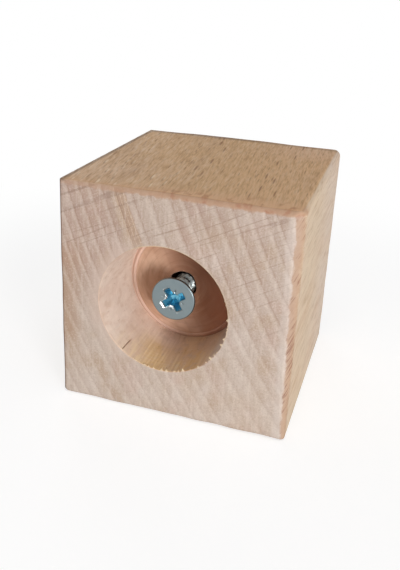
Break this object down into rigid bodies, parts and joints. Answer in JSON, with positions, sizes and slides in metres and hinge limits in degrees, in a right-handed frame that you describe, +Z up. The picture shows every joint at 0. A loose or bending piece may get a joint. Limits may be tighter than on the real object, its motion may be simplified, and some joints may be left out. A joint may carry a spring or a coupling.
{
  "type": "furniture riser block",
  "caption": "Beech cube that raises a piece of furniture: a counterbored hole in its end grain takes the wood screw that fixes it under a leg or base.",
  "frame": {"origin": "middle of the side that the block lies on", "axes": "+X to the right across the counterbored front, +Y along the grain and the screw towards the face that the furniture seats on, +Z up"},
  "size_m": [0.05, 0.057, 0.05],
  "materials": {
    "beech": "bare, sawn and lightly sanded",
    "zinc_plated_steel": "bright zinc plate with a blue tint"
  },
  "bodies": {
    "root": {"block": "beech", "screw": "zinc_plated_steel"}
  },
  "joints": []
}
